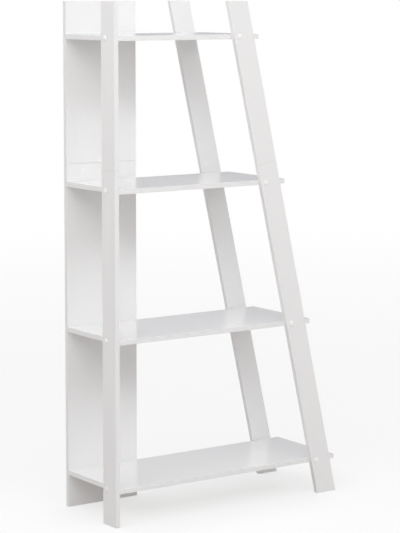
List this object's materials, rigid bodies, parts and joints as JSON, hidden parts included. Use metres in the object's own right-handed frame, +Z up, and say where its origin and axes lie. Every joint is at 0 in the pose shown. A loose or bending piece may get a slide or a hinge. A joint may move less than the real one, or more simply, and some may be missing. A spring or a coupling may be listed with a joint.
{
  "type": "ladder shelf",
  "caption": "Open ladder shelf: boards that get shorter upwards, screwed between a wide panel and a narrow post at one end and two slanted legs at the other.",
  "frame": {"origin": "middle of the footprint, screw caps included, on the floor", "axes": "+Z up, +X along the shelves from the post and panel towards the slanted legs, +Y from the front to the back"},
  "size_m": [0.8446, 0.3352, 1.588],
  "materials": {
    "white_laminate": "white melamine on particle board, satin, white edge band",
    "white_plastic": "moulded white plastic, slightly glossy",
    "cam_white": "die-cast metal with a white painted face",
    "zinc_steel": "bright zinc plating"
  },
  "bodies": {
    "root": {"cap_front_leg_shelf_1": "white_plastic", "cap_front_leg_shelf_2": "white_plastic", "cap_front_leg_shelf_3": "white_plastic", "cap_front_leg_shelf_4": "white_plastic", "cap_panel_shelf_1a": "white_plastic", "cap_panel_shelf_1b": "white_plastic", "cap_panel_shelf_2a": "white_plastic", "cap_panel_shelf_2b": "white_plastic", "cap_panel_shelf_3a": "white_plastic", "cap_panel_shelf_3b": "white_plastic", "cap_panel_shelf_4a": "white_plastic", "cap_panel_shelf_4b": "white_plastic", "cap_post_shelf_1": "white_plastic", "cap_post_shelf_2": "white_plastic", "cap_post_shelf_3": "white_plastic", "cap_post_shelf_4": "white_plastic", "cap_rear_leg_shelf_1": "white_plastic", "cap_rear_leg_shelf_2": "white_plastic", "cap_rear_leg_shelf_3": "white_plastic", "cap_rear_leg_shelf_4": "white_plastic", "front_leg_cam": "cam_white", "front_leg_cam_bolt": "zinc_steel", "front_leg_lower": "white_laminate", "front_leg_upper": "white_laminate", "panel_cam": "cam_white", "panel_cam_bolt": "zinc_steel", "panel_lower": "white_laminate", "panel_upper": "white_laminate", "post_cam": "cam_white", "post_cam_bolt": "zinc_steel", "post_lower": "white_laminate", "post_upper": "white_laminate", "rear_leg_cam": "cam_white", "rear_leg_cam_bolt": "zinc_steel", "rear_leg_lower": "white_laminate", "rear_leg_upper": "white_laminate", "screw_front_leg_shelf_1": "zinc_steel", "screw_front_leg_shelf_2": "zinc_steel", "screw_front_leg_shelf_3": "zinc_steel", "screw_front_leg_shelf_4": "zinc_steel", "screw_panel_shelf_1a": "zinc_steel", "screw_panel_shelf_1b": "zinc_steel", "screw_panel_shelf_2a": "zinc_steel", "screw_panel_shelf_2b": "zinc_steel", "screw_panel_shelf_3a": "zinc_steel", "screw_panel_shelf_3b": "zinc_steel", "screw_panel_shelf_4a": "zinc_steel", "screw_panel_shelf_4b": "zinc_steel", "screw_post_shelf_1": "zinc_steel", "screw_post_shelf_2": "zinc_steel", "screw_post_shelf_3": "zinc_steel", "screw_post_shelf_4": "zinc_steel", "screw_rear_leg_shelf_1": "zinc_steel", "screw_rear_leg_shelf_2": "zinc_steel", "screw_rear_leg_shelf_3": "zinc_steel", "screw_rear_leg_shelf_4": "zinc_steel", "shelf_1": "white_laminate", "shelf_2": "white_laminate", "shelf_3": "white_laminate", "shelf_4": "white_laminate"}
  },
  "joints": []
}
